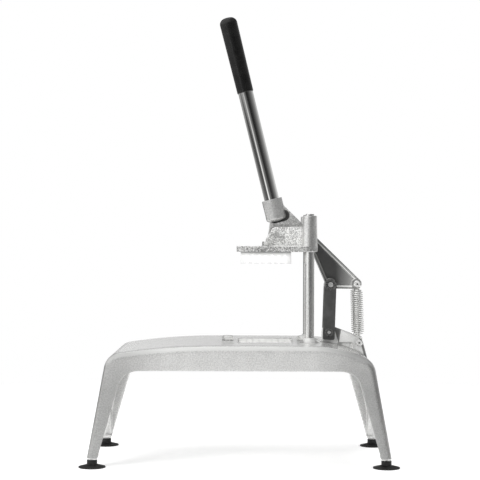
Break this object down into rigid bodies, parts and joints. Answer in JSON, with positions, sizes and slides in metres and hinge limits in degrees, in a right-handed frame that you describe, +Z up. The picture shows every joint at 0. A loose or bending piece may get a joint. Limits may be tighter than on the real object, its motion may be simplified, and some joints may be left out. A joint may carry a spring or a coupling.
{
  "type": "french fry cutter",
  "caption": "Bench-top lever press on an arched four-legged base that pushes a potato through a square grid of crossed blades, with a long handle and return springs.",
  "frame": {"origin": "on the bench at the centre of the four suction cups", "axes": "+Z up, +X from the operator's end towards the links and springs, +Y from the near side to the far side of the pictured view"},
  "size_m": [0.453, 0.246, 0.6518],
  "materials": {
    "base_casting": "fine sandy satin",
    "head_casting": "coarse sand-cast, bright",
    "lever_casting": "sand-cast with a smoother socket",
    "link_steel": "dull dark grey",
    "polished_steel": "polished",
    "plated_steel": "bright plated",
    "blade_steel": "bright stainless",
    "spring_wire": "bright wire",
    "bronze": "satin",
    "white_plastic": "matte",
    "black_rubber": "matte",
    "black_vinyl": "semi-gloss dipped"
  },
  "bodies": {
    "base": {"base_frame": "base_casting", "foot_cup_front_near": "black_rubber", "foot_cup_front_far": "black_rubber", "foot_cup_rear_near": "black_rubber", "foot_cup_rear_far": "black_rubber", "foot_studs": "plated_steel", "foot_washers": "plated_steel", "guide_rod_near": "polished_steel", "guide_rod_far": "polished_steel", "rod_screws": "plated_steel", "rod_screw_washers": "plated_steel", "blade_frame": "blade_steel", "blades_lengthwise": "blade_steel", "blades_crosswise": "blade_steel", "blade_keeper_bars": "blade_steel", "blade_keeper_screws": "plated_steel", "blade_frame_studs": "plated_steel", "blade_frame_nuts": "plated_steel", "link_pin_lower": "plated_steel", "link_washers_lower": "plated_steel", "spring_screws_lower": "plated_steel"},
    "head": {"pusher_head": "head_casting", "guide_bush_near": "bronze", "guide_bush_far": "bronze", "pusher_block": "white_plastic", "pusher_block_studs": "plated_steel", "pusher_block_washers": "plated_steel", "pusher_block_nuts": "plated_steel", "head_pivot_pin": "plated_steel"},
    "lever": {"lever": "lever_casting", "lever_pivot_bush": "bronze", "lever_link_bush": "bronze", "handle_tube": "polished_steel", "handle_set_screw": "plated_steel", "handle_grip": "black_vinyl"},
    "links": {"link_near": "link_steel", "link_far": "link_steel", "link_pins_upper": "plated_steel", "link_washers_upper": "plated_steel"},
    "springs": {"return_spring_near": "spring_wire", "return_spring_far": "spring_wire"},
    "spring_anchors": {"spring_screws_upper": "plated_steel"}
  },
  "joints": [
    {"name": "head_slide", "type": "slide", "parent": "base", "child": "head", "axis": [0, 0, -1], "range_m": [0, 0.1217], "stiffness_N_per_m": 343, "springref_m": -0.097},
    {"name": "lever_pivot", "type": "hinge", "parent": "head", "child": "lever", "pos_m": [0.054, 0, 0.329], "axis": [0, -1, 0], "range_deg": [0, 67.1]},
    {"name": "link_pivot", "type": "hinge", "parent": "base", "child": "links", "pos_m": [0.1318, 0, 0.1852], "axis": [0, 1, 0], "range_deg": [0, 15.6]},
    {"name": "spring_swing", "type": "hinge", "parent": "base", "child": "springs", "pos_m": [0.176, 0, 0.1704], "axis": [0, -1, 0], "range_deg": [0, 2.3]},
    {"name": "spring_stretch", "type": "slide", "parent": "springs", "child": "spring_anchors", "axis": [-0.0381, 0, 0.9993], "range_m": [0, 0.0321], "deforming": ["return_spring_near", "return_spring_far"]}
  ],
  "couplings": [
    {"joint": "lever_pivot", "follows": "head_slide", "rad_per_m": 9.6201},
    {"joint": "link_pivot", "follows": "head_slide", "rad_per_m": 2.2305},
    {"joint": "spring_swing", "follows": "head_slide", "rad_per_m": 0.32855},
    {"joint": "spring_stretch", "follows": "head_slide", "ratio": 0.26328}
  ]
}
